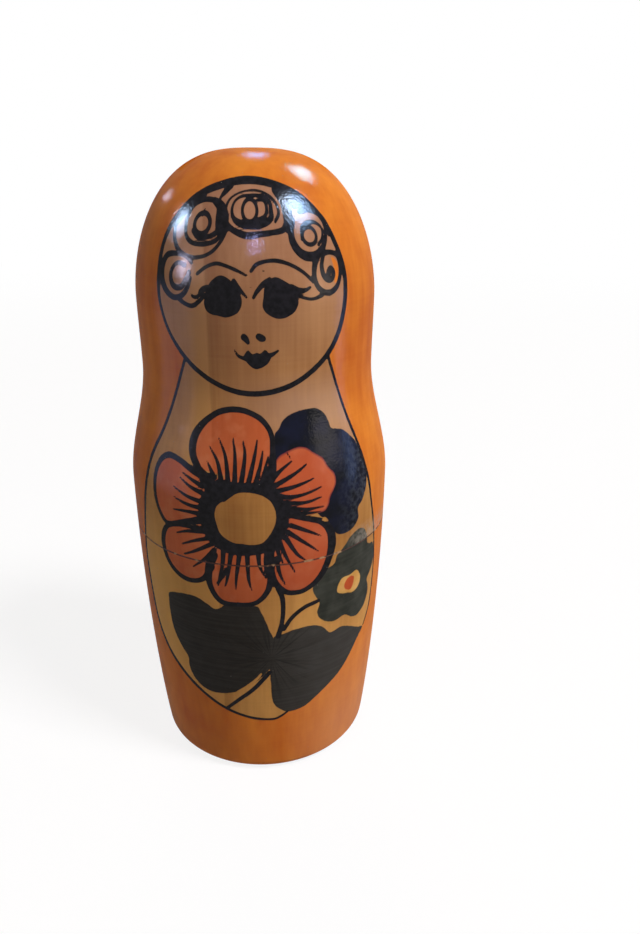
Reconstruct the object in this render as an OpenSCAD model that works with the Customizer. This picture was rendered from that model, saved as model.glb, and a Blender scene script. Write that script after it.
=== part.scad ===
// Nesting doll: a set of turned wooden dolls, each standing inside the next larger one.
// Every doll but the smallest parts at a seam into a top half and a bottom half,
// joined by a spigot on the bottom half that slips into a socket in the top half.
// The origin is the centre of the outermost doll's base, with Z up along the turning axis.

/* [Outermost doll] */
// Diameter of the foot, measured as if its edge were sharp
base_diameter = 61.4; // [56:0.2:66]
// Radius of the rounded edge around the base
base_round = 2.9; // [1.5:0.1:5]
// Diameter at the belly, the widest place
belly_diameter = 72.4; // [70:0.2:80]
// Height of the belly above the table
belly_height = 85; // [78:0.5:95]
// Diameter at the neck
neck_diameter = 62.4; // [58:0.2:66]
// Rise from the belly to the neck
shoulder_rise = 31.4; // [25:0.2:40]
// Diameter of the head where it is widest
head_diameter = 63; // [58:0.2:68]
// Rise from the neck to the widest place of the head
nape_rise = 18; // [12:0.5:24]
// Rise from the widest place of the head to the top of the crown
crown_rise = 35.6; // [30:0.2:42]

/* [Seam] */
// How far the seam between the halves lies below the belly
seam_drop = 14; // [8:0.5:24]
// Length of the spigot that the top half slips over
spigot_length = 10; // [6:0.5:14]
// Space left above the spigot when the doll is closed
spigot_end_gap = 0.6; // [0.3:0.1:1.5]
// Radial clearance of the spigot in its socket, the same on every doll
fit_clearance = 0.1; // [0.05:0.01:0.2]
// Chamfer that breaks the outer edges at the seam
seam_ease = 0.16; // [0.1:0.02:0.4]
// Lead-in chamfer on the spigot and in the socket's mouth
lead_in = 0.7; // [0.3:0.1:1.2]

/* [Nest] */
// Number of dolls in the set, the solid one included
doll_count = 7; // [3:1:9]
// Thickness of the wall at the belly, as a share of the radius there
wall_share = 0.155; // [0.13:0.005:0.2]
// Air left around the next doll
nest_gap = 0.9; // [0.7:0.1:1.5]
// Thickness of the bottom that the next doll stands on
bottom_thickness = 10; // [7:0.5:13]
// Film of air between that bottom and the foot that stands on it
stand_gap = 0.05; // [0.03:0.01:0.2]

/* [Hidden] */
$fn = 96;

// How sharply the flank swells from the foot, and the two powers that square the crown
flank_power_share = 0.78;
crown_height_share = 1.87;
crown_width_share = 2.73;
// Part of the rim's wall that belongs to the spigot
spigot_wall_share = 0.5;

// Steps along each stretch of an outline
round_steps = 6;
flank_steps = 10;
shoulder_steps = 12;
nape_steps = 6;
crown_steps = 18;
cup_steps = 12;
cap_steps = 16;

base_r = base_diameter / 2;
belly_r = belly_diameter / 2;
neck_r = neck_diameter / 2;
head_r = head_diameter / 2;
wall = belly_r * wall_share;

seam_z = belly_height - seam_drop;
neck_z = belly_height + shoulder_rise;
head_z = neck_z + nape_rise;
doll_height = head_z + crown_rise;
spigot_top_z = seam_z + spigot_length;
socket_end_z = spigot_top_z + spigot_end_gap;

// Each doll is this much of the next larger one, so that it fits inside the wall with air around it
nest_ratio = 1 - (wall + nest_gap) / belly_r;
mouth_r = belly_r - wall;
spigot_r = mouth_r + (outer_r(seam_z) - mouth_r) * spigot_wall_share;
next_head_z = bottom_thickness + nest_ratio * head_z;

// Size of doll k against the outermost one, and the height it stands at
function doll_scale(k) = pow(nest_ratio, k - 1);
function stand_z(k) = (bottom_thickness + stand_gap) * (1 - doll_scale(k)) / (1 - nest_ratio);

// A smooth step from 0 to 1 that leaves and arrives upright
function smooth_step(t) = t * t * (3 - 2 * t);

// Heights in equal steps from one to another, both ends included
function heights(from, to, steps) = [for (i = [0 : steps]) from + (to - from) * i / steps];

// Outer radius of the outermost doll at height z, below the crown and above the rounded edge
function outer_r(z) =
    z <= belly_height ? base_r + (belly_r - base_r) * pow(sin(90 * z / belly_height), flank_power_share)
    : z <= neck_z ? belly_r + (neck_r - belly_r) * smooth_step((z - belly_height) / shoulder_rise)
    : neck_r + (head_r - neck_r) * smooth_step((z - neck_z) / nape_rise);

// The rounded edge at the base, from the flat foot out to the flank
function foot_edge() = [
    for (i = [0 : round_steps])
        let (turn = 90 * i / round_steps, z = base_round * (1 - cos(turn)))
        [outer_r(z) - base_round * (1 - sin(turn)), z]
];

// A crown of a given half width and rise that starts upright at height z and closes on the axis
function crown(half_width, rise, z) = [
    for (i = [0 : crown_steps])
        let (turn = 90 * i / crown_steps)
        [half_width * pow(cos(turn), 2 / crown_width_share), z + rise * pow(sin(turn), 2 / crown_height_share)]
];

// The flank from one height to another
function flank(from, to) = [for (z = heights(from, to, flank_steps)) [outer_r(z), z]];

// The outer outline from a height on the flank up to the top of the crown
function upper_outline(from) = concat(
    flank(from, belly_height),
    [for (z = heights(belly_height, neck_z, shoulder_steps)) if (z > belly_height) [outer_r(z), z]],
    [for (z = heights(neck_z, head_z, nape_steps)) if (z > neck_z && z < head_z) [outer_r(z), z]],
    crown(head_r, crown_rise, head_z)
);

// Hollow of a bottom half: the next doll's foot and flank with air around them, then out to the mouth
function cup_hollow() =
    let (next_seam_z = (seam_z - bottom_thickness) / nest_ratio)
    concat(
        [[0, bottom_thickness]],
        [for (p = foot_edge()) [nest_ratio * p.x + nest_gap, bottom_thickness + nest_ratio * p.y]],
        [
            for (z = heights(base_round, next_seam_z, cup_steps))
                if (z > base_round) [nest_ratio * outer_r(z) + nest_gap, bottom_thickness + nest_ratio * z]
        ],
        [[mouth_r, spigot_top_z]]
    );

// Radius of a top half's hollow at height z, never narrower than the part of the next doll that passes it
function cap_r(z) =
    let (next_z = (z - bottom_thickness) / nest_ratio)
    nest_gap + nest_ratio * (next_z <= belly_height ? belly_r : max(head_r, outer_r(min(next_z, head_z))));

// Hollow of a top half, from the end of the socket up to its ceiling on the axis
function cap_hollow() = concat(
    [for (z = heights(socket_end_z, next_head_z, cap_steps)) if (z < next_head_z) [cap_r(z), z]],
    crown(nest_ratio * head_r + nest_gap, nest_ratio * crown_rise + nest_gap, next_head_z)
);

function reversed(points) = [for (i = [len(points) - 1 : -1 : 0]) points[i]];

// Outline of a top half, at the outermost doll's size, for a socket with a given clearance
function top_outline(clearance) = concat(
    [[outer_r(seam_z) - seam_ease, seam_z]],
    upper_outline(seam_z + seam_ease),
    reversed(cap_hollow()),
    [
        [spigot_r + clearance, socket_end_z],
        [spigot_r + clearance, seam_z + lead_in],
        [spigot_r + clearance + lead_in, seam_z]
    ]
);

// Outline of a bottom half, at the outermost doll's size
function bottom_outline() = concat(
    [[0, 0]],
    foot_edge(),
    [for (p = flank(base_round, seam_z - seam_ease)) if (p.y > base_round) p],
    [
        [outer_r(seam_z) - seam_ease, seam_z],
        [spigot_r, seam_z],
        [spigot_r, spigot_top_z - lead_in],
        [spigot_r - lead_in, spigot_top_z]
    ],
    reversed(cup_hollow())
);

// Outline of the doll that is turned in one piece
function solid_outline() = concat(
    [[0, 0]],
    [for (p = foot_edge()) if (p.y < base_round) p],
    upper_outline(base_round)
);

// Turns an outline on the axis, at the size and place of doll k
module turned(k, outline) {
    translate([0, 0, stand_z(k)])
        rotate_extrude()
            polygon([for (p = outline) doll_scale(k) * p]);
}

module top_half(k) {
    color("darkorange") turned(k, top_outline(fit_clearance / doll_scale(k)));
}

module bottom_half(k) {
    color("chocolate") turned(k, bottom_outline());
}

module solid_doll() {
    color("orange") turned(doll_count, solid_outline());
}

for (k = [1 : doll_count - 1]) {
    top_half(k);
    bottom_half(k);
}
solid_doll();
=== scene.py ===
import math

import bpy
import numpy as np
from mathutils import Matrix, Vector


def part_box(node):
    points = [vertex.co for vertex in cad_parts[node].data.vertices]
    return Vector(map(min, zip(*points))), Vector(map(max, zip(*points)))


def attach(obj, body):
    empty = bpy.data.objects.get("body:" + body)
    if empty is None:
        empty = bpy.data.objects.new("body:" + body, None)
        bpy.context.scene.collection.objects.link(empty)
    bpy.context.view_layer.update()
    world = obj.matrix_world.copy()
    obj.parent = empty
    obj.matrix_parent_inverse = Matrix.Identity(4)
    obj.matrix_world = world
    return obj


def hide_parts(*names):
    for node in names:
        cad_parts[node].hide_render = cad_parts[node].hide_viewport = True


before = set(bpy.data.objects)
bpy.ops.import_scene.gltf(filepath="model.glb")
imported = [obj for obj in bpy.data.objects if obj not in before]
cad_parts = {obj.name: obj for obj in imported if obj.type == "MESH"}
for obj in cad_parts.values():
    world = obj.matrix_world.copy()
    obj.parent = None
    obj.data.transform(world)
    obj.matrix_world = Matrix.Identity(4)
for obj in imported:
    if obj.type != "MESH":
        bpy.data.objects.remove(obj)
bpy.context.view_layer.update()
print("frame loaded:", len(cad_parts), "turned pieces")

mm = 0.001

# Outline of the outermost doll in millimetres; the smaller dolls repeat it at their own scale
dollShape = {
    "height": 170.0,
    "baseRadius": 30.7,
    "baseRound": 2.9,
    "bellyRadius": 36.2,
    "bellyHeight": 85.0,
    "neckRadius": 31.2,
    "neckHeight": 116.4,
    "headRadius": 31.5,
    "headHeight": 134.4,
    "crownRise": 35.6,
    "flankPower": 0.78,
    "crownWidthPower": 2.73,
    "crownHeightPower": 1.87,
    "dulledRadius": 19.2,  # the lacquer is dull this near to the axis
    "glossyFront": 0.42,  # but not where the cosine of the angle from the front is more than this
    "footPoints": 24,
    "flankPoints": 300,
    "crownPoints": 400,
}

# Seam and hollow of a doll that opens, in millimetres
dollSeam = {
    "height": 71.0,
    "ease": 0.16,
    "spigotTop": 81.0,
    "socketEnd": 81.6,
    "leadIn": 0.7,
    "fitClearance": 0.1,
    "wallShare": 0.155,
    "nestGap": 0.9,
    "bottomThickness": 10.0,
    "spigotWallShare": 0.5,
}

# How finely a doll is turned, and its thinnest painted line, in millimetres at the outermost doll's size
fineTurning = {"front": 0.45, "back": 2.2, "rows": 0.45, "hollow": 2.5, "pen": 0.0}
coarseTurning = {"front": 0.8, "back": 3.2, "rows": 0.8, "hollow": 3.5, "pen": 1.0}
wornSpacing = 1.0
paintedHalfAngle = 1.45
sharpDegrees = 32
dollCount = 7

nestRatio = 1 - dollSeam["wallShare"] - dollSeam["nestGap"] / dollShape["bellyRadius"]


# Smooth step from 0 to 1: three times the square less twice the cube, level at both ends
def smoothStep(t):
    t = np.clip(t, 0, 1)
    return t * t * (3 - 2 * t)


# Radius at height z: a sine swell up to the belly, then smooth steps in to the neck and out to the head
def outerRadius(z):
    shape = dollShape
    swell = np.sin(math.pi / 2 * np.clip(z / shape["bellyHeight"], 0, 1)) ** shape["flankPower"]
    shoulder = smoothStep((z - shape["bellyHeight"]) / (shape["neckHeight"] - shape["bellyHeight"]))
    nape = smoothStep((z - shape["neckHeight"]) / (shape["headHeight"] - shape["neckHeight"]))
    radius = shape["baseRadius"] + (shape["bellyRadius"] - shape["baseRadius"]) * swell
    radius = radius + (shape["neckRadius"] - shape["bellyRadius"]) * shoulder
    return radius + (shape["headRadius"] - shape["neckRadius"]) * nape


mouthRadius = dollShape["bellyRadius"] * (1 - dollSeam["wallShare"])
seamRadius = float(outerRadius(dollSeam["height"]))
spigotRadius = mouthRadius + (seamRadius - mouthRadius) * dollSeam["spigotWallShare"]


# Rounded foot: a quarter turn whose height is the round less its cosine, set in from the flank by its sine
def footEdge():
    turn = np.linspace(0, math.pi / 2, dollShape["footPoints"])
    z = dollShape["baseRound"] * (1 - np.cos(turn))
    return np.column_stack([outerRadius(z) - dollShape["baseRound"] * (1 - np.sin(turn)), z])


# Squared-off crown: a quarter turn with its cosine and sine each raised to a power, closing on the axis
def crownLine(halfWidth, rise, startHeight):
    turn = np.linspace(0, math.pi / 2, dollShape["crownPoints"])
    radius = halfWidth * np.clip(np.cos(turn), 0, 1) ** (2 / dollShape["crownWidthPower"])
    radius[-1] = 0
    height = startHeight + rise * np.sin(turn) ** (2 / dollShape["crownHeightPower"])
    return np.column_stack([radius, height])


# Flank: the outer radius at even heights
def flankLine(low, high):
    z = np.linspace(low, high, dollShape["flankPoints"])
    return np.column_stack([outerRadius(z), z])


# Hollow of a bottom half, floor to mouth: the next doll's foot and flank with air around them
def cupLine():
    floor = dollSeam["bottomThickness"]
    nextSeam = (dollSeam["height"] - floor) / nestRatio
    inner = np.vstack([footEdge(), flankLine(dollShape["baseRound"], nextSeam)[1:]])
    wall = np.column_stack([nestRatio * inner[:, 0] + dollSeam["nestGap"], floor + nestRatio * inner[:, 1]])
    return np.vstack([[[0, floor]], wall]), np.vstack([wall[-1:], [[mouthRadius, dollSeam["spigotTop"]]]])


# Hollow of a top half, socket to ceiling: at each height as wide as the widest part of the next doll
# that passes it
def capLine():
    nextHead = dollSeam["bottomThickness"] + nestRatio * dollShape["headHeight"]
    z = np.linspace(dollSeam["socketEnd"], nextHead, dollShape["flankPoints"])
    inner = np.clip((z - dollSeam["bottomThickness"]) / nestRatio, dollShape["bellyHeight"], None)
    radius = nestRatio * np.maximum(dollShape["headRadius"], outerRadius(inner)) + dollSeam["nestGap"]
    ceiling = crownLine(
        nestRatio * dollShape["headRadius"] + dollSeam["nestGap"],
        nestRatio * dollShape["crownRise"] + dollSeam["nestGap"],
        nextHead,
    )
    return np.vstack([np.column_stack([radius, z])[:-1], ceiling])


# What a stretch of an outline is finished in, counted in the order of the material slots
painted, bareWood, wornEdge, dulled = 0, 1, 2, 3


# Straight stretches of bare wood from corner to corner
def straightRuns(corners, spacing):
    return [(np.array(pair), spacing, bareWood) for pair in zip(corners, corners[1:])]


# Outer outline from a height on the flank to the top, where handling has dulled the lacquer
def upperStretches(low, turning):
    shape = dollShape
    crown = crownLine(shape["headRadius"], shape["crownRise"], shape["headHeight"])
    outer = np.vstack([flankLine(low, shape["headHeight"])[:-1], crown])
    top = np.flatnonzero(outer[:, 0] >= shape["dulledRadius"])[-1]
    return [(outer[: top + 1], turning["rows"], painted), (outer[top:], turning["rows"], dulled)]


# Outline of a bottom half in stretches, each with its spacing and finish: underside, foot, flank, the edge
# of the seam, spigot and hollow
def bottomStretches(turning):
    seam, ease, lead, rim = (dollSeam[key] for key in ("height", "ease", "leadIn", "spigotTop"))
    rows, hollow = turning["rows"], turning["hollow"]
    cup, neck = cupLine()
    foot = footEdge()
    flank = flankLine(dollShape["baseRound"], seam - ease)
    corners = [[seamRadius - ease, seam], [spigotRadius, seam], [spigotRadius, rim - lead]]
    corners += [[spigotRadius - lead, rim], [mouthRadius, rim]]
    stretches = straightRuns([[0, 0], foot[0]], hollow)
    stretches += [(foot, rows, painted), (flank, rows, painted)]
    stretches += [(np.array([flank[-1], corners[0]]), wornSpacing, wornEdge)]
    stretches += straightRuns(corners, hollow)
    return stretches + [(neck[::-1], hollow, bareWood), (cup[::-1], hollow, bareWood)]


# Outline of a top half in stretches: hollow, socket, the edge of the seam and the outside
def topStretches(turning, clearance):
    seam, ease, lead = (dollSeam[key] for key in ("height", "ease", "leadIn"))
    socket = spigotRadius + clearance
    cap = capLine()
    corners = [cap[0], [socket, dollSeam["socketEnd"]], [socket, seam + lead], [socket + lead, seam]]
    corners += [[seamRadius - ease, seam]]
    outside = upperStretches(seam + ease, turning)
    lowest = outside[0][0][0]
    stretches = [(cap[::-1], turning["hollow"], bareWood)] + straightRuns(corners, turning["hollow"])
    return stretches + [(np.array([corners[-1], lowest]), wornSpacing, wornEdge)] + outside


# Outline of the doll that is turned in one piece: underside, foot and the outside
def solidStretches(turning):
    foot = footEdge()
    stretches = straightRuns([[0, 0], foot[0]], turning["hollow"]) + [(foot, turning["rows"], painted)]
    return stretches + upperStretches(dollShape["baseRound"], turning)


# Joins the stretches end to end, each evened out along its length to its own spacing
def evenOutline(stretches):
    rows, finishes = [], []
    for points, spacing, finish in stretches:
        length = np.concatenate([[0], np.cumsum(np.hypot(*np.diff(points, axis=0).T))])
        count = max(1, math.ceil(length[-1] / spacing))
        at = np.linspace(0, length[-1], count + 1)
        even = np.column_stack([np.interp(at, length, points[:, 0]), np.interp(at, length, points[:, 1])])
        rows.append(even[1:] if rows else even)
        finishes.append(np.full(count, finish, np.int32))
    return np.vstack(rows), np.concatenate(finishes)


# Columns round the axis, close together across the painted front and wider apart behind
def turningColumns(turning):
    front = math.ceil(2 * paintedHalfAngle * dollShape["bellyRadius"] / turning["front"])
    back = math.ceil((2 * math.pi - 2 * paintedHalfAngle) * dollShape["bellyRadius"] / turning["back"])
    faced = np.linspace(-paintedHalfAngle, paintedHalfAngle, front + 1)
    behind = np.linspace(paintedHalfAngle, 2 * math.pi - paintedHalfAngle, back + 1)[1:-1]
    return np.concatenate([faced, behind])


# The painting is laid out flat: x is the angle from the front times the belly radius, y the height, both in
# millimetres on the outermost doll. A line holds (x, y, width) points, a fill (x, y) points round its edge.
faceMotif = {
    "rings": [
        [
            (-30.4, 142, 1.6), (-29.7, 149.5, 1.6), (-26.6, 154.9, 1.8), (-20.6, 159.5, 1.9),
            (-11, 162.1, 1.9), (-1.5, 162.9, 1.8), (8, 161.9, 1.8), (16, 159.6, 1.7), (22, 155, 1.7),
            (25.1, 149.5, 1.7), (27.1, 143, 1.7), (26.8, 136, 1.7), (24.6, 128.8, 1.6), (20, 123, 1.5),
            (12, 118, 1.4), (4, 115.6, 1.4), (-4, 115.3, 1.4), (-12, 117.4, 1.3), (-20, 121.9, 1.3),
            (-26.4, 128.4, 1.1), (-29.6, 135.2, 1.2),
        ],
    ],
    "ink": [
        [  # left eye
            (-14.3, 137), (-13.8, 139.2), (-12.4, 141.3), (-10.2, 142.7), (-8, 142.4), (-5.6, 140.6),
            (-4.1, 138.2), (-4, 136.2), (-5.3, 134.4), (-8, 133.4), (-10.6, 133.7), (-12.8, 134.1),
            (-14.1, 135.3),
        ],
        [  # right eye
            (1.5, 136), (1.8, 138), (2.2, 140.4), (3.7, 142), (5.3, 142.4), (7, 141.8), (9, 140.8),
            (10.7, 139.6), (11.2, 137.8), (11.2, 136), (10, 134.3), (8, 133.3), (6, 133), (4, 133.5),
            (2.3, 134.6),
        ],
        [  # mouth
            (-3.8, 124.3), (-2.7, 125.8), (-1.5, 124.9), (-0.3, 125.2), (0.7, 125), (1.9, 125.9),
            (2.8, 125.1), (3.5, 123.8), (2.1, 122.1), (-0.6, 121.2), (-2.7, 122.4),
        ],
    ],
    "lines": [
        [
            (-16.4, 142.9, 0.9), (-14, 144.4, 0.9), (-11, 145.3, 0.9), (-8, 144.8, 0.9),
            (-5, 143.8, 0.8), (-2.5, 142.8, 0.6),
        ],
        [
            (-1.3, 143.8, 0.9), (0.2, 145.2, 1.0), (3, 145.9, 0.9), (6, 145.9, 1.0), (9.5, 145, 0.9),
            (13, 143.3, 0.9), (16, 141, 1.0),
        ],
        [(-2.6, 138, 0.6), (-4.2, 139.6, 0.9), (-6, 141.6, 1.2)],
        [(-13.6, 140, 1.2), (-14.6, 139.5, 1.4), (-15.5, 139, 1.0)],
        [
            (-14.2, 138.2, 0.9), (-16, 136.6, 1.1), (-18, 135.6, 1.1), (-20.5, 136.1, 1.1),
            (-22.8, 137.2, 1.2),
        ],
        [(-14.8, 138.8, 0.9), (-16.5, 137.7, 0.9), (-17.7, 137.8, 0.8), (-18.2, 138.3, 0.5)],
        [(-0.8, 138, 0.9), (0.2, 139.4, 1.1), (1.8, 140.9, 1.3), (3.6, 142, 1.0)],
        [(9.5, 140.2, 1.2), (11.5, 139.2, 1.5), (13.3, 139.2, 1.1), (15, 139.8, 0.6)],
        [(11.2, 138.2, 1.0), (13, 137.5, 0.8), (15.5, 137.1, 0.8), (18, 137.6, 1.0), (19, 138, 1.0)],
        [(-3.7, 128.9, 1.7), (-3.2, 128.5, 1.6), (-2.6, 127.6, 1.0)],
        [(0.3, 129, 1.7), (0.9, 128.7, 1.8), (1.5, 128.5, 1.5)],
        [(-6.3, 125.7, 0.5), (-5.3, 124.4, 0.8), (-3.5, 123.7, 1.0)],
        [(5.5, 125.5, 0.6), (4, 124.7, 1.0), (2.8, 124.4, 1.2)],
        # two flecks between the brows
        [(1.9, 143.9, 0.5), (2.1, 143.7, 0.5)],
        [(-1.6, 140.3, 0.4), (-1.5, 140.1, 0.4)],
    ],
}

hairMotif = {
    "dyed": [[(22.7, 146.1), (24.5, 145.2), (24.9, 143), (24.2, 140.9), (22.9, 140.2), (23.6, 142.6)]],
    "loops": [  # middle of the curl, half width, half height, line width
        (-16.3, 153.7, 2.6, 2.2, 1.2),
        (-1.5, 156.6, 2.3, 2.35, 1.0),
        (16.4, 151, 2.3, 1.9, 1.0),
    ],
    "lines": [
        # left front curl and the dark lock beside it
        [
            (-19, 152.2, 1.3), (-17.3, 150.9, 1.3), (-15, 150.8, 1.2), (-12.8, 151.2, 1.2),
            (-10.8, 152.2, 1.4),
        ],
        [
            (-13, 158.6, 1.2), (-17, 158.7, 1.2), (-20.6, 157.4, 1.2), (-22, 154.4, 1.2),
            (-21.3, 151.2, 1.1), (-19, 149.6, 1.1), (-15.5, 149.3, 1.1), (-12, 149.9, 1.1),
            (-9.8, 151.5, 1.2),
        ],
        [
            (-26.2, 153, 1.3), (-25.4, 150.2, 1.3), (-23.2, 147.8, 1.2), (-19.5, 146.5, 1.0),
            (-15.5, 146.6, 0.9), (-12, 148, 0.9), (-9.6, 150.4, 1.0), (-8.2, 153, 1.2),
        ],
        [(-13.5, 158.6, 1.4), (-11, 157.3, 2.6), (-10, 155, 4.2), (-10, 152.8, 3.4), (-9.3, 151.2, 1.2)],
        [(-26.3, 153.5, 2.0), (-24.2, 156.2, 3.2), (-20.8, 158.6, 2.6), (-17.2, 159.6, 0.8)],
        [(-11.5, 159.2, 0.8), (-10, 160.6, 1.6), (-7.8, 161.6, 0.8)],
        [(-16.7, 155.6, 1.0), (-16.2, 156.7, 0.4)],
        # middle curl
        [(0.7, 158.7, 0.7), (3, 158.7, 0.9), (3.9, 157.2, 1.0), (3.2, 155.4, 1.0), (0.6, 154.4, 1.1)],
        [
            (5.2, 156.3, 1.4), (5, 158.2, 1.2), (3, 159.4, 1.0), (0, 159.7, 0.8), (-4, 159.5, 0.7),
            (-6.3, 158.5, 0.7), (-7.1, 156.7, 0.9), (-6.4, 154.9, 1.2), (-4.2, 153.8, 1.7),
            (-1, 153.5, 1.9), (2.5, 153.8, 1.8), (5, 154.9, 1.5), (5.2, 156.3, 1.4),
        ],
        [
            (-9.6, 155.8, 1.2), (-8.4, 158.6, 0.7), (-5.8, 160, 0.5), (-2, 160.7, 0.5), (2, 160.6, 0.6),
            (5.4, 159.4, 0.8), (7.3, 157.6, 0.9), (7.5, 155.8, 1.0), (6.2, 154.2, 0.8),
        ],
        [
            (-9.2, 154.2, 1.8), (-7, 152.7, 1.4), (-4, 151.6, 1.6), (-1.5, 151.3, 1.6),
            (1.5, 151.6, 1.4), (5, 151.9, 1.3), (8.2, 152.4, 1.4), (9.6, 153.6, 1.8),
        ],
        [(7.2, 160.8, 1.8), (10, 158.6, 3.4), (10.4, 155.6, 3.2), (9.8, 152.5, 1.8)],
        # right front curl
        [
            (13.9, 150.4, 1.0), (14.3, 152.8, 1.0), (16.8, 153.9, 1.0), (19.5, 153.7, 0.9),
            (21.2, 152.4, 0.8), (20.7, 150.4, 0.9), (18.9, 149, 0.8),
        ],
        [
            (11.6, 154.3, 1.8), (10.6, 151.8, 1.9), (11.2, 149.2, 2.1), (13.2, 147.2, 2.2),
            (16, 146.5, 2.2), (18.7, 147.2, 1.9), (21.1, 149.1, 1.4), (22.5, 151.8, 1.2),
            (22.3, 154.3, 1.2), (20.7, 155.8, 1.0),
        ],
        [(14.5, 156.4, 1.6), (18, 156.6, 1.4), (21.5, 155.5, 1.6), (23.4, 152.8, 2.0), (23.6, 151, 1.0)],
        [(9.5, 159.8, 3.0), (13.5, 158.4, 3.4), (17.5, 157.6, 2.4)],
        # right side curl
        [
            (20, 146.4, 1.0), (19.1, 144.6, 1.3), (19.3, 142.5, 1.5), (20.6, 141.2, 1.5),
            (22.2, 141.3, 1.4), (23, 142.7, 1.3), (22.2, 143.7, 1.2), (21.3, 143, 1.6),
            (21.3, 142.2, 1.4),
        ],
        [
            (18.5, 147, 1.8), (17, 145, 1.7), (16.4, 142.5, 1.5), (17, 140.2, 1.4), (18.9, 138.6, 1.4),
            (21.3, 138.2, 1.5), (23.7, 139.3, 1.4), (25.2, 141.5, 1.3), (25.7, 144, 1.4),
            (25, 146.4, 1.3), (22.5, 147.2, 1.2), (19.5, 147, 1.4),
        ],
        # left side curl
        [
            (-20.5, 144.6, 1.2), (-23, 145, 1.0), (-25, 143.5, 1.2), (-25.2, 141.2, 1.4),
            (-23.8, 139.6, 1.5), (-21.5, 139.7, 1.4), (-20, 141.2, 1.6), (-19, 143, 1.4),
        ],
        [
            (-18.6, 141.8, 1.2), (-19.6, 139.4, 1.4), (-21.6, 137.6, 1.4), (-24.3, 137.2, 1.4),
            (-27, 138.6, 1.7), (-28.7, 141, 2.0), (-28.9, 144, 2.0), (-27.4, 146.4, 1.6),
            (-24, 147, 1.2), (-20.5, 146.6, 1.0), (-18.3, 145.2, 0.9),
        ],
    ],
}

ovalMotif = {
    "leftLine": [
        (-21.6, 122.6, 0.9), (-25.6, 114, 1.0), (-29.9, 104, 1.1), (-33.9, 96, 1.2), (-36.4, 86, 1.2),
        (-38.7, 76, 1.2), (-40.2, 66, 1.2), (-39.6, 56, 1.3), (-38, 46, 1.4), (-34.2, 38.6, 1.4),
        (-28.4, 33, 1.3), (-20, 27.2, 1.1), (-12.4, 23.2, 1.0), (-5, 20.8, 0.9), (1.5, 20, 0.8),
        (4.2, 20.8, 0.8), (6.4, 22.3, 0.7),
    ],
    "lowRight": [(12, 24.2, 0), (19.5, 29, 0), (27, 35.2, 0), (32, 40, 0)],
    "underChin": [(19.4, 124.8, 0), (16, 124, 0), (-16.5, 124, 0), (-20.2, 124.6, 0)],
    "rightLine": [
        (20.8, 122.8, 1.0), (24.6, 114, 0.9), (27.6, 106, 1.0), (30.5, 98, 1.0), (32.6, 90, 1.0),
        (34.6, 82, 0.9), (36.8, 74, 0.9), (37.9, 68, 0.8), (38.7, 61, 0.8), (38.5, 53, 0.8),
        (37.4, 46.5, 0.8), (34.6, 41.6, 0.6),
    ],
}

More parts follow.
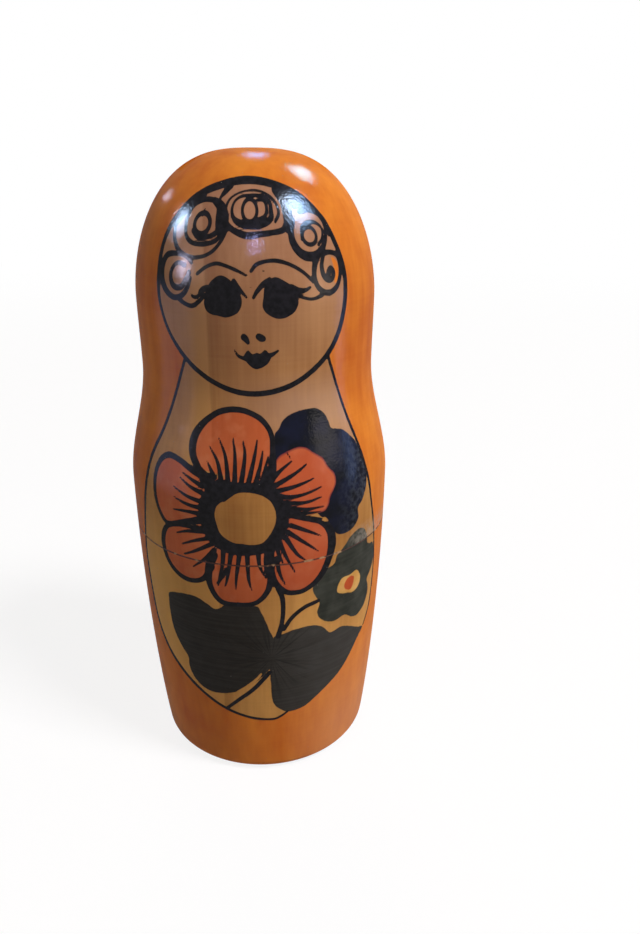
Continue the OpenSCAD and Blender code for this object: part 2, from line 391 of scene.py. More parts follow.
flowerMotif = {
    "outlines": [  # one brush line round each petal, which the petal's colour fills
        [
            (-16.6, 96.4, 1.8), (-18.5, 99.3, 2.2), (-18.8, 102.5, 2.4), (-17.6, 105.5, 2.2),
            (-14.9, 108.3, 1.7), (-11, 110.6, 1.5), (-6.5, 111.3, 1.5), (-2.5, 110.5, 1.4),
            (0.9, 108.5, 1.4), (3, 105.3, 1.4), (3.2, 101.5, 1.5), (3, 98, 2.2), (2.2, 94.5, 2.8),
        ],
        [
            (5.5, 85.4, 1.6), (11, 83.4, 1.6), (15.5, 81.6, 1.8), (18.2, 78.4, 2.3), (18.9, 74.5, 2.7),
            (18.1, 70.5, 2.2), (16.5, 67, 2.0), (14.2, 64.3, 1.7), (11.2, 62.5, 1.5), (8.5, 62.1, 1.5),
            (5.5, 62.9, 1.6), (3, 65.7, 1.9), (1.7, 69, 2.6), (1.5, 73, 2.8), (1.9, 77, 2.4),
        ],
        [
            (-13, 73.5, 2.6), (-14.5, 69, 2.3), (-14.6, 65, 1.8), (-13.1, 61.3, 1.6), (-10.8, 59.4, 1.6),
            (-7, 59.3, 1.3), (-3, 59.6, 1.4), (-0.6, 61.2, 1.4), (1.2, 64, 1.6), (1.8, 67.5, 1.8),
            (1.2, 71, 1.8),
        ],
        [
            (-13.5, 80.6, 1.8), (-19, 80.4, 1.2), (-23.5, 80, 1.2), (-27.2, 78.5, 1.4), (-29, 75.5, 1.7),
            (-29.3, 72, 1.7), (-27.9, 68.2, 1.5), (-25, 65.5, 1.5), (-21.5, 64.4, 1.5), (-18, 64.9, 1.4),
            (-15.6, 66.6, 1.6), (-13.8, 70, 2.2),
        ],
        [
            (-13.5, 94.2, 2.6), (-18.5, 95.7, 1.8), (-22.5, 97.4, 1.6), (-26.5, 98, 1.6),
            (-29.4, 96.3, 1.6), (-31.1, 93, 1.5), (-31.5, 88.8, 1.4), (-30.7, 84, 1.3),
            (-28.6, 80.5, 1.3), (-26.3, 79.6, 1.3), (-22, 81, 1.6), (-18, 82.3, 2.0), (-14.5, 83.4, 2.4),
        ],
    ],
    "petal": [  # the petal over the bud, with no line of its own, and the root of the lowest petal
        [
            (2.6, 96), (3.6, 98.4), (4.8, 99.9), (6.5, 100.7), (8.5, 101.4), (10.4, 101.7),
            (12.3, 101.3), (14.2, 100), (17, 98), (18.2, 95.8), (19.9, 93.8), (20.3, 92), (19.9, 90.3),
            (18.3, 88), (17.7, 85.9), (16.8, 84.6), (15.5, 84.2), (12, 84.2), (8, 85), (4.5, 87),
            (2.5, 90), (1.5, 93),
        ],
        [(-12.6, 72.5), (-10, 76), (-4, 76.5), (1.5, 76), (1.4, 70.5), (-5, 70)],
    ],
    "heart": [  # black middle of the flower
        (-14.1, 84.5, 4.6), (-13, 88.5, 5.4), (-10.5, 90.9, 5.0), (-6, 92.4, 2.6), (-1, 92.2, 2.6),
        (2.9, 90.2, 2.8), (4.8, 86.5, 3.0), (4.9, 82.5, 3.4), (3.1, 78.7, 3.4), (0.3, 76.3, 2.8),
        (-4, 75.6, 3.2), (-8.8, 76.5, 4.0), (-12.6, 79.2, 4.4),
    ],
    "heartSpread": 2.4,
    "lines": [
        [(-17.5, 97, 1.5), (-15, 94.5, 3.0), (-12.8, 92, 4.0)],
        [(-10.8, 93.6, 1.6), (-8.4, 93.4, 1.4)],
        [(-1.8, 93.2, 1.4), (0.6, 93.4, 1.8), (2.4, 92.8, 2.2)],
        [(6.9, 100.7, 0.5), (7.8, 99.3, 0.5)],
        [(-12.2, 65.2, 0.8), (-10.9, 67.2, 1.0), (-9.6, 69.6, 1.2)],
    ],
    "gaps": [  # bare eye of the flower
        [
            (-12, 84.5), (-11.6, 87), (-10.2, 88.5), (-9.3, 88.7), (-8.5, 89), (-7.7, 89.9),
            (-5.4, 90.8), (-3.5, 90.9), (-1, 90.7), (1, 89.8), (2.6, 88), (3.4, 85.5), (3, 82.5),
            (1.5, 80), (0.2, 78.5), (-1.4, 77.5), (-4, 77.4), (-7, 77.5), (-9.2, 78.5), (-10.8, 80),
            (-11.6, 82.4),
        ],
    ],
    "veinTip": 0.45,
    "veinBase": 1.4,
    "veinPen": 0.8,
    "veins": [
        [(-14.2, 98.3), (-12, 94.6)],
        [(-13.8, 102.1), (-11.4, 98.5), (-10.2, 94)],
        [(-11.2, 104.2), (-9.3, 100), (-8.4, 93.8)],
        [(-7.3, 104.4), (-6.7, 100), (-6.7, 93.6)],
        [(-4.6, 103.8), (-4.1, 100.3), (-5, 93.6)],
        [(-0.8, 104), (-1.6, 100), (-3.2, 93.6)],
        [(0.6, 101.4), (-0.1, 98), (-1.4, 93.6)],
        [(2, 100), (1.1, 97), (0.3, 94)],
        [(8.1, 98.5), (5.1, 96.5), (2.6, 94.2)],
        [(12.1, 97.3), (8.6, 95.3), (3.1, 92.7)],
        [(13.7, 93.5), (9.1, 92.3), (3.7, 91.4)],
        [(15.9, 91.1), (12.1, 90.1), (8.1, 89.6), (4.6, 89.9)],
        [(15.6, 88.4), (11.1, 87.7), (5.5, 88.2)],
        [(16.4, 85.7), (11, 85.9), (6, 87)],
        [(15.5, 84.4), (11, 84.8), (6, 85.9)],
        [(15.5, 77.5), (12, 79.5), (7.2, 82)],
        [(14.8, 73.2), (11, 76.4), (6.3, 80.3)],
        [(11.3, 71.2), (8.8, 73.6), (5.6, 79)],
        [(8.3, 68.2), (6, 73), (3.9, 78.5)],
        [(5.2, 71.2), (4.2, 73.5), (3.4, 77)],
        [(5.6, 65), (4.2, 68.5), (3.4, 73)],
        [(-12.1, 64.6), (-11.6, 67), (-10.6, 71), (-10.2, 75)],
        [(-10.2, 64.4), (-9.3, 68), (-8.1, 75)],
        [(-7.4, 63.8), (-7, 68), (-5.9, 75)],
        [(-3.2, 63.8), (-3.9, 67.5), (-4, 75)],
        [(0.7, 67.2), (-0.9, 70.8), (-1.2, 75)],
        [(-23.9, 77.6), (-20, 79), (-14.5, 79.9)],
        [(-22.2, 74.8), (-17.8, 76.8), (-13, 78.4)],
        [(-21.8, 71.9), (-17.8, 73.9), (-12.6, 77)],
        [(-19.2, 68.8), (-15.8, 71.6), (-12.6, 75)],
        [(-21.5, 94.6), (-18.3, 93.2), (-15.3, 92)],
        [(-22.1, 93.2), (-18.8, 91.4), (-15.2, 90.2)],
        [(-24.1, 90.4), (-19.8, 88.8), (-15, 87.8)],
        [(-24, 87.7), (-19.8, 86.6), (-15, 86.2)],
        [(-24.4, 84.2), (-19.8, 84.6), (-15, 84.7)],
        [(-23.4, 80.8), (-18.8, 82.5), (-14.8, 83.8)],
    ],
}

budMotif = {
    "bud": [
        [
            (3.5, 104.6), (4.9, 106.7), (6.3, 108.8), (9, 110.2), (13, 110.9), (16.5, 110.7),
            (19, 109.2), (20.4, 107), (21, 105.2), (22.6, 104.7), (25, 104), (27.6, 102), (29.6, 99.8),
            (31, 96.5), (32.3, 92.5), (32.4, 89), (31.6, 86), (30, 83.2), (28.4, 81.8), (28.7, 79),
            (27.2, 76.8), (24.5, 75.8), (21.5, 75.9), (19.4, 77.4), (17.6, 80.5), (15, 83), (9, 90),
            (4, 98),
        ],
    ],
    "gaps": [
        [(15.6, 82), (16.4, 82.3), (17.3, 81.4), (16.9, 81.2)],
    ],
}

leafMotif = {
    "leaf": [
        [
            (-30, 55.5), (-29.4, 57.8), (-26, 59.1), (-22, 59.9), (-19, 59.9), (-16, 58.7),
            (-13.6, 57.4), (-12, 58), (-10.8, 59), (-7, 59.4), (-2, 59.2), (-0.6, 57), (0.6, 54),
            (1.6, 51), (2.7, 48), (2.8, 44), (2.2, 40), (0.6, 37), (-3, 33.4), (-6.4, 31), (-10, 29.2),
            (-14, 28.2), (-18, 28.2), (-21.5, 29.8), (-23.8, 32.6), (-24.6, 35.5), (-24.6, 38),
            (-26.5, 40.6), (-28.3, 43.4), (-29.6, 47), (-30.1, 51.5),
        ],
        [
            (2.2, 49), (5, 49.9), (8, 50.7), (12, 51), (15.2, 50.3), (17.4, 48.8), (19, 46.8),
            (20.3, 46.5), (22.5, 46.9), (24.8, 46.5), (28, 44.9), (31.5, 42.9), (34.6, 41.3),
            (32.5, 39.2), (30, 36.5), (27, 33), (24, 30.3), (20.5, 28), (16.5, 25.5), (12.5, 22.9),
            (9.5, 22), (6.5, 21.8), (4.4, 22.8), (2.2, 25), (1.3, 28), (1.1, 32), (0.9, 37), (1, 41),
            (1.5, 45),
        ],
    ],
    "lines": [
        [(3.8, 64, 1.6), (4.8, 61, 1.4), (5, 57, 1.3), (4.6, 53, 1.3), (3.6, 49, 1.6)],
        [(15, 58, 1.2), (11, 57, 1.3), (7.5, 54.5, 1.3), (5.2, 51, 1.2)],
        [(1, 37, 1.4), (-3.5, 31.5, 1.3), (-8, 27.4, 1.2), (-12.5, 23.2, 1.0)],
    ],
    "gaps": [[(-8.5, 30), (-6, 31.8), (-3, 34.4), (-1.4, 36.6), (-2.8, 34.8), (-5.8, 32.1)]],
}

smallFlowerMotif = {
    "smallPetal": [
        [
            (20.4, 70.2), (21.6, 71.2), (23.3, 72.6), (25.3, 74.5), (28.3, 75.6), (30.9, 75.1),
            (32.6, 73.2), (33.4, 71.2), (33.6, 69.6), (35, 68.6), (36.8, 68.3), (38, 66.3), (38.6, 64),
            (38, 61), (36.4, 58.7), (34.9, 57.1), (35.8, 54.5), (35.7, 51.6), (34, 48.8), (30.5, 47.1),
            (27.5, 47.8), (24.3, 49.8), (21, 49.3), (17.8, 50.2), (15.4, 52.2), (14.5, 54.6), (15.2, 57),
            (14, 59.3), (13, 62), (13.8, 64.2), (15.2, 66.4), (17.4, 67.4), (19.6, 68.2),
        ],
    ],
    "yolk": [
        [
            (21.2, 59), (21.6, 61), (23, 62.5), (26, 62.4), (28.5, 62.8), (30.2, 61), (30.6, 59),
            (29.6, 57), (27.5, 56.3), (25, 57), (22.4, 57.8),
        ],
    ],
    "dot": [[(23.8, 59.2), (24.3, 61.2), (26, 61.9), (27.6, 61.1), (27.4, 59), (26.6, 57.7), (25, 57.9)]],
}

paintLayers = ["reserve", "bud", "petal", "leaf", "smallPetal", "yolk", "dot", "ink"]
farFromPaint = 3.0
# How far each layer stops short of a gap in the painting, in millimetres
gapMargins = {"ink": 0, "bud": 0, "leaf": 0, "petal": 0.5}
# Steps in a span of a path, steps in a run of a line, spots measured at a time and points round a curl
brushing = {"span": 8, "run": 16, "spots": 8000, "curl": 33}


# Smooth path through given points: each span is a cubic that leaves and arrives along the line
# between its neighbours
def brushPath(points, closed=False):
    p = np.asarray(points, float)
    if closed:
        p = np.vstack([p[-1:], p, p[:2]])
    else:
        p = np.vstack([2 * p[:1] - p[1:2], p, 2 * p[-1:] - p[-2:-1]])
    t = (np.arange(brushing["span"]) / brushing["span"])[None, :, None]
    a, b, c, d = (p[i : len(p) - 3 + i, None, :] for i in range(4))
    cubic = 2 * b + (c - a) * t + (2 * a - 5 * b + 4 * c - d) * t**2 + (3 * b - a - 3 * c + d) * t**3
    return np.vstack([0.5 * cubic.reshape(-1, p.shape[1]), p[-2:-1]])


# Distance from each spot to the nearest piece of a path, less half the line's width there
def lineDistance(spots, path):
    start, step = path[:-1], np.diff(path, axis=0)
    x, y = spots[:, :1] - start[:, 0], spots[:, 1:] - start[:, 1]
    square = np.maximum(step[:, 0] ** 2 + step[:, 1] ** 2, 1e-9)
    along = np.clip((x * step[:, 0] + y * step[:, 1]) / square, 0, 1)
    gap = np.hypot(x - along * step[:, 0], y - along * step[:, 1])
    if path.shape[1] > 2:
        gap = gap - (start[:, 2] + along * step[:, 2]) / 2
    return gap.min(axis=1)


# A spot is inside a closed path if a level line from it crosses the path an odd number of times
def insidePath(spots, path):
    start, end = path[:-1, :2], path[1:, :2]
    y = spots[:, 1:]
    crosses = (start[:, 1] > y) != (end[:, 1] > y)
    rise = np.where(end[:, 1] == start[:, 1], 1.0, end[:, 1] - start[:, 1])
    at = start[:, 0] + (y - start[:, 1]) / rise * (end[:, 0] - start[:, 0])
    return (crosses & (spots[:, :1] < at)).sum(axis=1) % 2 == 1


# Lowers a layer's distance field around one line, in short runs so that only nearby spots are measured
def drawLine(field, spots, path):
    run = brushing["run"]
    for first in range(0, len(path) - 1, run):
        part = path[first : first + run + 1]
        reach = part[:, 2].max() / 2 + farFromPaint
        low, high = part[:, :2].min(axis=0) - reach, part[:, :2].max(axis=0) + reach
        near = np.flatnonzero(((spots > low) & (spots < high)).all(axis=1))
        if len(near):
            field[near] = np.minimum(field[near], lineDistance(spots[near], part))


# Signed distance to a filled shape, negative inside, measured only around it
def fillDistance(spots, points):
    path = brushPath(points, closed=True)[:, :2]
    low, high = path.min(axis=0) - farFromPaint, path.max(axis=0) + farFromPaint
    near = np.flatnonzero(((spots > low) & (spots < high)).all(axis=1))
    distance = np.full(len(near), farFromPaint)
    for part in np.array_split(np.arange(len(near)), max(1, len(near) // brushing["spots"])):
        if len(part):
            edge = lineDistance(spots[near[part]], path)
            distance[part] = np.where(insidePath(spots[near[part]], path), -edge, edge)
    return near, distance


def drawFill(field, spots, points):
    near, distance = fillDistance(spots, points)
    field[near] = np.minimum(field[near], distance)


# Round curl: an ellipse of one line width
def curlLoop(x, y, halfWidth, halfHeight, width):
    turn = np.linspace(0, 2 * math.pi, brushing["curl"])
    across, up = x + halfWidth * np.cos(turn), y + halfHeight * np.sin(turn)
    return np.column_stack([across, up, np.full(len(turn), width)])


def boldened(points, pen):
    return [(x, y, max(width, pen)) for x, y, width in points]


# Signed distance in millimetres from each spot to every layer of the painting
def paintFields(spots, pen):
    fields = {layer: np.full(len(spots), farFromPaint) for layer in paintLayers}
    drawFill(fields["reserve"], spots, [point[:2] for point in faceMotif["rings"][0]])
    oval = ovalMotif
    around = oval["leftLine"] + oval["lowRight"] + oval["rightLine"][::-1] + oval["underChin"]
    drawFill(fields["reserve"], spots, [point[:2] for point in around])
    lines = [brushPath(boldened(oval[side], pen)) for side in ("leftLine", "rightLine")]
    for outline in flowerMotif["outlines"]:
        drawFill(fields["petal"], spots, [point[:2] for point in outline])
        lines.append(brushPath(boldened(outline, pen)))
    heart = brushPath(flowerMotif["heart"], closed=True)
    lines.append(heart)
    drawLine(fields["petal"], spots, heart + [0, 0, flowerMotif["heartSpread"]])
    tip, base = flowerMotif["veinTip"], flowerMotif["veinBase"]
    for vein in flowerMotif["veins"]:
        width = np.maximum(np.linspace(tip, base, len(vein)), pen * flowerMotif["veinPen"])
        lines.append(brushPath(np.column_stack([vein, width])))
    gaps = []
    for motif in (faceMotif, hairMotif, flowerMotif, budMotif, leafMotif, smallFlowerMotif):
        for layer in paintLayers:
            for points in motif.get(layer, []):
                drawFill(fields[layer], spots, points)
        lines += [brushPath(boldened(points, pen)) for points in motif.get("lines", [])]
        lines += [brushPath(boldened(points, pen), closed=True) for points in motif.get("rings", [])]
        lines += [curlLoop(*loop[:4], max(loop[4], pen)) for loop in motif.get("loops", [])]
        gaps += motif.get("gaps", [])
    for path in lines:
        drawLine(fields["ink"], spots, path)
    for points in gaps:
        near, distance = fillDistance(spots, points)
        for layer, margin in gapMargins.items():
            fields[layer][near] = np.maximum(fields[layer][near], margin - distance)
    for points in hairMotif["dyed"]:
        near, distance = fillDistance(spots, points)
        fields["reserve"][near] = np.maximum(fields["reserve"][near], -distance)
    fields["seamGap"] = np.abs(spots[:, 1] - dollSeam["height"])
    return {layer: np.clip(field, -farFromPaint, farFromPaint) for layer, field in fields.items()}


# sRGB hex to the linear colour that shaders take
def hexColour(code):
    part = np.array([int(code[i : i + 2], 16) for i in (1, 3, 5)]) / 255
    linear = np.where(part <= 0.04045, part / 12.92, ((part + 0.055) / 1.055) ** 2.4)
    return (*linear.tolist(), 1.0)


# Adds a node: values fill its inputs in order, named inputs come after them, and one output is given back
def addNode(tree, kind, *values, out=0, inputs=None, **settings):
    node = tree.nodes.new("ShaderNode" + kind)
    for name, setting in settings.items():
        setattr(node, name, setting)
    for key, value in {**dict(enumerate(values)), **(inputs or {})}.items():
        if isinstance(value, bpy.types.NodeSocket):
            tree.links.new(value, node.inputs[key])
        else:
            node.inputs[key].default_value = value
    return node.outputs[out] if node.outputs else node


# A material with its sockets set, its node tree, its shader and the place on the object
def startMaterial(name, sockets):
    material = bpy.data.materials.new(name)
    material.use_nodes = True
    tree = material.node_tree
    shader = tree.nodes["Principled BSDF"]
    for socket, value in sockets.items():
        shader.inputs[socket].default_value = value
    return material, tree, shader, addNode(tree, "TexCoord", out="Object")


# Soft noise stretched to a width and a length along the axis, both in millimetres
def pattern(tree, place, width, length, detail):
    size = (1 / (width * mm), 1 / (width * mm), 1 / (length * mm))
    stretched = addNode(tree, "Mapping", inputs={"Vector": place, "Scale": size})
    return addNode(tree, "TexNoise", inputs={"Vector": stretched, "Scale": 1.0, "Detail": detail})


# How far a spot is inside a region: a product of ramps, each a value, where it starts and where it is full
def region(tree, *ramps):
    inside = [addNode(tree, "MapRange", *ramp) for ramp in ramps]
    amount = inside[0]
    for ramp in inside[1:]:
        amount = addNode(tree, "Math", amount, ramp, operation="MULTIPLY")
    return amount


# Patterns added up, each times its weight
def weighted(tree, parts, total=0.0):
    for value, weight in parts:
        total = addNode(tree, "Math", value, weight, total, operation="MULTIPLY_ADD")
    return total


# One colour over another, as far as a mask times a strength says
def laidOver(tree, below, above, mask, strength=1.0):
    below, above = (hexColour(colour) if isinstance(colour, str) else colour for colour in (below, above))
    amount = addNode(tree, "Math", mask, strength, operation="MULTIPLY")
    return addNode(tree, "Mix", amount, inputs={6: below, 7: above}, out=2, data_type="RGBA")


# Small relief, one pattern on another, each with its strength and its depth in millimetres
def relief(tree, bumps):
    normal = None
    for height, strength, depth in bumps:
        inputs = {"Height": height, "Strength": strength, "Distance": depth * mm}
        if normal:
            inputs["Normal"] = normal
        normal = addNode(tree, "Bump", inputs=inputs)
    return normal


# Sizes in millimetres at the outermost doll's size, colours as sRGB hex. A ramp is a value, where it starts
# and where it is full; a wash is a colour, its strength and the ramps that bound it.
paintFinish = {
    "patterns": {  # width, length along the axis, fineness
        "grain": (1.1, 46.0, 3.0),
        "band": (9.0, 190.0, 2.0),
        "patch": (22.0, 22.0, 3.0),
        "smear": (5.0, 16.0, 3.0),
        "streak": (30.0, 0.7, 2.0),
        "shade": (5.0, 5.0, 3.0),
        "wander": (1.3, 1.3, 2.0),
        "rub": (3.0, 3.0, 2.0),
        "grit": (0.5, 0.5, 1.0),
    },
    "heartwood": [("across", -12.1, -11.5), ("across", 2.0, -11.8)],
    "sapwood": [("across", -11.5, -12.1)],
    "figure": {
        "band": 0.36,
        "grain": 0.18,
        "patch": 0.4,
        "streak": 0.06,
        "heartwood": 0.12,
        "sapwood": -0.1,
    },
    "ramps": {
        "tone": ("figure", 0.36, 0.68),
        "low": ("height", 75.0, 35.0),
        "cloud": ("shade", 0.35, 0.65),
        "brushed": ("streak", 0.38, 0.62),
        "blot": ("wander", 0.35, 0.65),
        # painted sheen: the leaves' lighter shade towards the right stands in for the floor's reflection
        "paintedLeafSheen": ("across", 14.0, -4.0),
    },
    "woodTone": {"tone": 1.0, "low": -0.5},
    "woodToneBase": 0.1,
    "woodUpper": ("#C08B67", "#A26D4E"),
    "woodLower": ("#D89A50", "#A0662F"),
    "yellowed": ("height", 95.0, 155.0),
    "woodWashes": [
        ("#C79D83", 0.4, ("height", 97, 108), ("height", 121, 113), ("across", -10, 8)),
        ("#EDB25C", 0.8, ("height", 88, 58), ("across", -14, -28)),
    ],
    "dyeShades": ("#EC8B2B", "#CB601A"),
    "dyeDepth": {"patch": 0.4, "band": 0.2, "smear": 0.3, "streak": 0.05, "grain": 0.1},
    "dyeSpread": (0.38, 0.68),
    # painted sheen: the dye paler low on the right front, where the floor's reflection falls
    "dyePaintedSheen": [("#F2B07C", 0.35, ("height", 45, 12), ("across", 4, 20))],
    "reserveEdge": (0.2, 0.15, 0.0),
    # a layer's two shades and what moves between them; its edge wanders, is soft and stops short of the
    # outline
    "layers": {
        "bud": {
            "shades": ("#12152A", "#090A12"),
            "tone": {"cloud": 1.0},
            "edge": (0.25, 0.12, 0.3),
            # painted sheen: a grey haze over the bud's right side, broken up by the wander pattern
            "washes": [("#5C6068", 0.35, ("across", 19, 27), ("wander", 0.4, 0.62))],
        },
        "petal": {
            "shades": ("#D96F3E", "#BE5529"),
            "tone": {"tone": 1.0},
            "edge": (0.25, 0.12, 0.0),
            "washes": [
                ("#E58A5C", 0.35, ("shade", 0.5, 0.68)),
                ("#C04E2E", 0.5, ("across", 1, 6)),
                ("#7A3818", 0.7, ("height", 75, 35)),
                ("#6A2A34", 1.0, ("petal", -0.6, 0.05), ("bud", 0.2, -0.4)),  # bud bleeding through
            ],
        },
        "leaf": {
            # the lighter shade, laid on towards the right, is a painted reflection of the floor
            "shades": ("#433F3A", "#221B13"),
            "tone": {"paintedLeafSheen": 0.7, "brushed": 0.16, "cloud": 0.15},
            "edge": (0.25, 0.12, 0.3),
            "washes": [("#0F0C09", 0.5, ("stroke", 0.5, 0.62), ("reach", 17, 4))],
        },
        "smallPetal": {
            "shades": ("#424239", "#272820"),
            "tone": {"cloud": 0.7, "brushed": 0.2},
            "edge": (0.3, 0.14, 0.25),
        },
        "yolk": {"shades": ("#E6B064", "#D2984A"), "tone": {"cloud": 1.0}, "edge": (0.25, 0.14, 0.0)},
        "dot": {"shades": ("#D05A2A", "#B84720"), "tone": {"cloud": 1.0}, "edge": (0.3, 0.2, 0.0)},
        "ink": {"shades": ("#1E1B20", "#0D0B0F"), "tone": {"blot": 1.0}, "edge": (0.16, 0.08, 0.0)},
    },
    "leafStem": (1.5, 42.0),
    "strokesRound": 9.0,
    "strokesAlong": 0.06,
    "strokeFineness": 2.0,
    "speckSpacing": 2.4,
    # marks of handling and dust, with one painted sheen above the seam
    "wearAndSheen": [
        ("#3C2212", 0.7, ("seamGap", 0.32, 0.12)),  # a dark line painted along the seam
        ("#B98F62", 0.8, ("rub", 0.54, 0.66), ("seamGap", 0.5, 0.2)),  # paint rubbed off its edges
        (
            "#B9AA98", 0.42, ("height", 77, 73), ("height", 70.9, 71.1),
            ("across", 22, 26), ("back", -1, -9), ("wander", 0.3, 0.6),
        ),  # pale haze above the seam on the right, partly scuffed lacquer and partly painted sheen
        ("#9A9488", 0.5, ("speckGap", 0.07, 0.02), ("speckChance", 0.6, 0.9)),  # dust under the lacquer
    ],
    "woodRelief": [("grain", 0.1, 0.04), ("streak", 0.12, 0.05)],
    "lacquerRelief": [("shade", 0.35, 0.06), ("streak", 0.5, 0.03), ("grit", 1.0, 0.05)],
    "sockets": {"Roughness": 0.55, "Specular IOR Level": 0.0, "Coat Roughness": 0.13, "Coat IOR": 1.8},
    "gloss": 0.1,
    "dulledGloss": 0.0,
}


# Lime wood, turned and dyed with water stain, drawn on in ink and sealed with clear gloss lacquer: the
# grain shows through the colour and the gloss lies over all of it
def lacqueredLimewood(name, gloss):
    look = paintFinish
    material, tree, shader, place = startMaterial(name, {**look["sockets"], "Coat Weight": gloss})
    at = {key: pattern(tree, place, *size) for key, size in look["patterns"].items()}
    fullSize = addNode(tree, "Attribute", out="Vector", attribute_name="fullSize")
    across = addNode(tree, "SeparateXYZ", fullSize)
    at.update(zip(("across", "back", "height"), across.node.outputs))
    for layer in (*paintLayers, "seamGap"):
        at[layer] = addNode(tree, "Attribute", out="Fac", attribute_name=layer)

    def within(ramps):
        return region(tree, *((at[key], start, full) for key, start, full in ramps))

    def summed(weights, base=0.0):
        return weighted(tree, [(at[key], weight) for key, weight in weights.items()], base)

    def washed(colour, washes):
        for wash, strength, *ramps in washes:
            colour = laidOver(tree, colour, wash, within(ramps), strength)
        return colour

    # where a layer's paint lies: inside its outline, with an edge that wanders a little
    def paintMask(layer, wanders, soft, short):
        moved = weighted(tree, [(at["wander"], wanders)], at[layer])
        limits = (wanders / 2 + soft - short, wanders / 2 - soft - short)
        return addNode(tree, "MapRange", moved, *limits, interpolation_type="SMOOTHSTEP")

    # a darker stripe of heartwood up the front, sharp along its left side and fading to the right
    at["heartwood"] = within(look["heartwood"])
    at["sapwood"] = within(look["sapwood"])
    at["figure"] = summed(look["figure"])
    for key, ramp in look["ramps"].items():
        at[key] = within([ramp])
    woodTone = summed(look["woodTone"], look["woodToneBase"])
    upper = laidOver(tree, *look["woodUpper"], woodTone)
    lower = laidOver(tree, *look["woodLower"], woodTone)
    wood = washed(laidOver(tree, lower, upper, within([look["yellowed"]])), look["woodWashes"])
    depth = region(tree, (summed(look["dyeDepth"]), *look["dyeSpread"]))
    dyed = washed(laidOver(tree, *look["dyeShades"], depth), look["dyePaintedSheen"])

    # brush strokes that fan out over both leaves from the stem
    sideways = weighted(tree, [(at["across"], 1.0)], -look["leafStem"][0])
    upward = weighted(tree, [(at["height"], 1.0)], -look["leafStem"][1])
    fromStem = addNode(tree, "CombineXYZ", sideways, upward)
    at["reach"] = addNode(tree, "VectorMath", fromStem, out="Value", operation="LENGTH")
    turn = addNode(tree, "Math", sideways, upward, operation="ARCTAN2")
    strokeTurn = weighted(tree, [(turn, look["strokesRound"])])
    strokeReach = weighted(tree, [(at["reach"], look["strokesAlong"])])
    fan = addNode(tree, "CombineXYZ", strokeTurn, strokeReach)
    strokes = {"Vector": fan, "Scale": 1.0, "Detail": look["strokeFineness"]}
    at["stroke"] = addNode(tree, "TexNoise", inputs=strokes)

    specks = {"Vector": place, "Scale": 1 / (look["speckSpacing"] * mm)}
    at["speckGap"] = addNode(tree, "TexVoronoi", inputs=specks)
    at["speckChance"] = addNode(tree, "SeparateColor", at["speckGap"].node.outputs["Color"])

    colour = laidOver(tree, dyed, wood, paintMask("reserve", *look["reserveEdge"]))
    for layer, paint in look["layers"].items():
        coat = washed(laidOver(tree, *paint["shades"], summed(paint["tone"])), paint.get("washes", []))
        colour = laidOver(tree, colour, coat, paintMask(layer, *paint["edge"]))
    tree.links.new(washed(colour, look["wearAndSheen"]), shader.inputs["Base Color"])
    for socket, bumps in (("Normal", look["woodRelief"]), ("Coat Normal", look["lacquerRelief"])):
        tree.links.new(relief(tree, [(at[key], *bump) for key, *bump in bumps]), shader.inputs[socket])
    return material


bareFinish = {
    "shades": ("#DDBF93", "#C39E6C"),
    "spread": (0.36, 0.64),
    "grain": (0.8, 22.0, 3.0),
    "grainWeight": 0.6,
    "toolRing": 0.7,
    "ringFineness": 2.0,
    "ringWeight": 0.4,
    "ringRelief": (0.5, 0.1),
    "sockets": {"Roughness": 0.62, "Specular IOR Level": 0.35},
}


# Bare lime wood straight from the gouge: pale and matt, with fine tool rings all round
def turnedLimewood():
    look = bareFinish
    material, tree, shader, place = startMaterial("turnedLimewood", look["sockets"])
    grain = pattern(tree, place, *look["grain"])
    # distance from the axis and height, so that the rings run round walls and floors alike
    flat = addNode(tree, "VectorMath", place, (1, 1, 0), operation="MULTIPLY")
    radius = addNode(tree, "VectorMath", flat, out="Value", operation="LENGTH")
    height = addNode(tree, "SeparateXYZ", place, out="Z")
    ringPlace = addNode(tree, "CombineXYZ", radius, height)
    ringScale = 1 / (look["toolRing"] * mm)
    turned = {"Vector": ringPlace, "Scale": ringScale, "Detail": look["ringFineness"]}
    rings = addNode(tree, "TexNoise", inputs=turned)
    both = weighted(tree, [(rings, look["ringWeight"]), (grain, look["grainWeight"])])
    colour = laidOver(tree, *look["shades"], region(tree, (both, *look["spread"])))
    tree.links.new(colour, shader.inputs["Base Color"])
    tree.links.new(relief(tree, [(rings, *look["ringRelief"])]), shader.inputs["Normal"])
    return material


wornFinish = {
    "shades": ("#4A2B17", "#B48A5E"),
    "spread": (0.55, 0.65),
    "patch": (3.0, 3.0, 2.0),
    "sockets": {"Roughness": 0.75, "Specular IOR Level": 0.1},
}


# Lime wood rubbed through the lacquer along an edge: dark and dull with handling, pale where freshly rubbed
def wornLimewood():
    look = wornFinish
    material, tree, shader, place = startMaterial("wornLimewood", look["sockets"])
    fresh = region(tree, (pattern(tree, place, *look["patch"]), *look["spread"]))
    tree.links.new(laidOver(tree, *look["shades"], fresh), shader.inputs["Base Color"])
    return material


